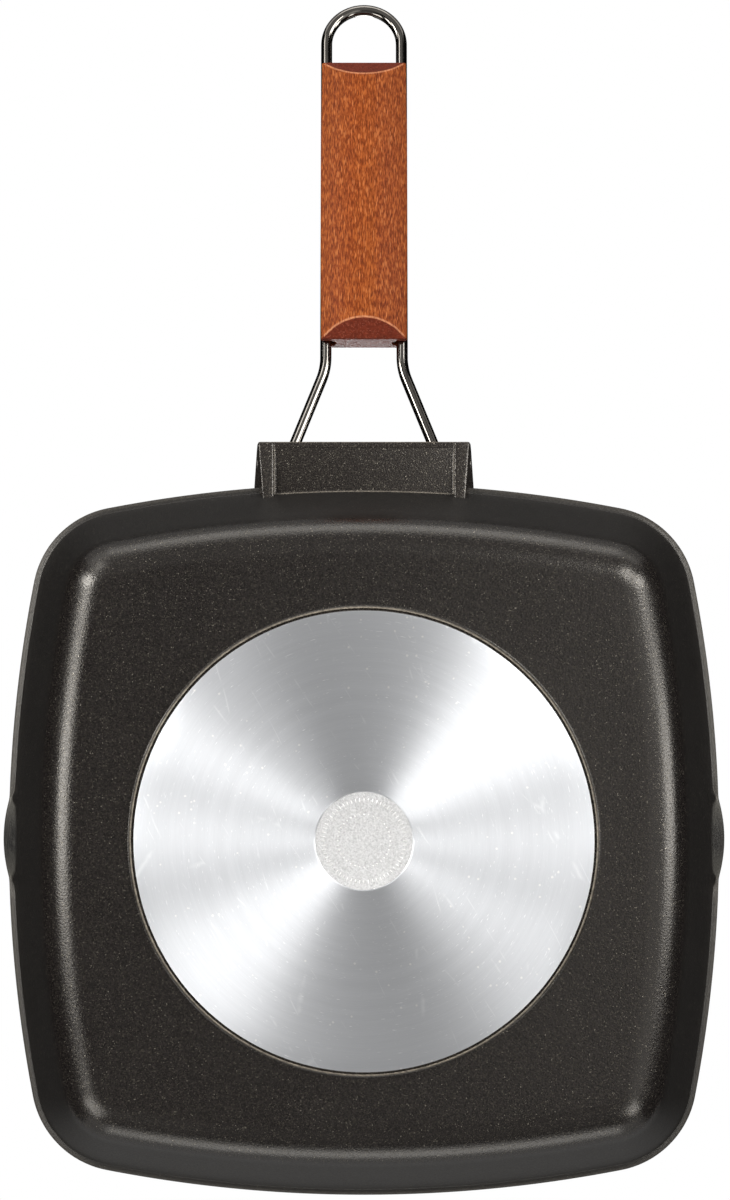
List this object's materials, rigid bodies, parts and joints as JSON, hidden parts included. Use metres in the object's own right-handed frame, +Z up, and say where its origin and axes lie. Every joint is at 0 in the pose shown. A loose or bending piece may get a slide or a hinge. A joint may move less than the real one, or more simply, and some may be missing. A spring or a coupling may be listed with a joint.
{
  "type": "square grill pan",
  "caption": "Square ribbed grill pan with two pouring spouts, a turned base disc and a wire and wood handle that folds over the pan.",
  "frame": {"origin": "centre of the turned base disc's lower face, the face that the pan stands on", "axes": "+Z up to the cooking side, +Y along the open handle, +X to the right when looking from the pan towards the handle"},
  "size_m": [0.2642, 0.445, 0.0947],
  "materials": {
    "coated_casting": "satin non-stick coating with fine metallic flecks",
    "turned_aluminium": "bare, finely turned in circles, with a grained round in the middle",
    "plated_wire": "bright dark nickel plate",
    "stained_wood": "reddish brown stain under a satin varnish"
  },
  "bodies": {
    "pan": {"pan_body": "coated_casting", "base_disc": "turned_aluminium"},
    "handle": {"handle_wire": "plated_wire", "handle_grip": "stained_wood"}
  },
  "joints": [
    {"name": "handle_fold", "type": "hinge", "parent": "pan", "child": "handle", "pos_m": [0, 0.138, 0.0455], "axis": [1, 0, 0], "range_deg": [0, 169]}
  ]
}
